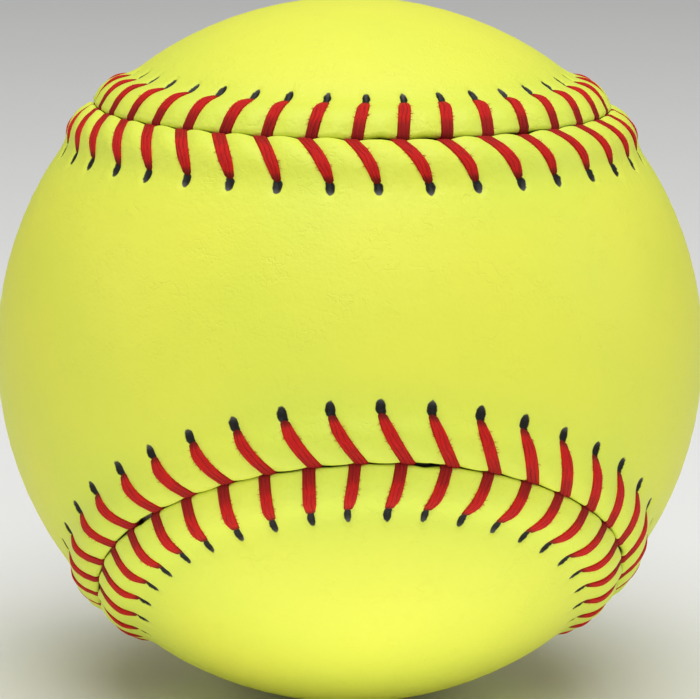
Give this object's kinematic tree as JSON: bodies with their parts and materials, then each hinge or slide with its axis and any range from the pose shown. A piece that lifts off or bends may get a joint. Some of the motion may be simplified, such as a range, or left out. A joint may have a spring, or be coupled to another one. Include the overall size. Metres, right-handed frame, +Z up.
{
  "type": "softball",
  "caption": "Optic-yellow fast-pitch softball: moulded core in a two-panel cover, cemented down and sewn with red thread along a raised figure-eight seam.",
  "frame": {"origin": "centre of the ball", "axes": "+Z up as the ball lies, -Y towards the front waist, which is tipped 20 degrees up from level, +X to the right seen from the front"},
  "size_m": [0.097, 0.0987, 0.097],
  "materials": {
    "core_foam": "matt moulded polyurethane",
    "latex_cement": "dull cured latex",
    "yellow_cover": "satin synthetic leather with a fine grain",
    "red_thread": "waxed cotton"
  },
  "bodies": {
    "root": {"core": "core_foam", "front_cement_film": "latex_cement", "rear_cement_film": "latex_cement", "front_cover_panel": "yellow_cover", "rear_cover_panel": "yellow_cover", "first_needle_thread": "red_thread", "second_needle_thread": "red_thread"}
  },
  "joints": []
}
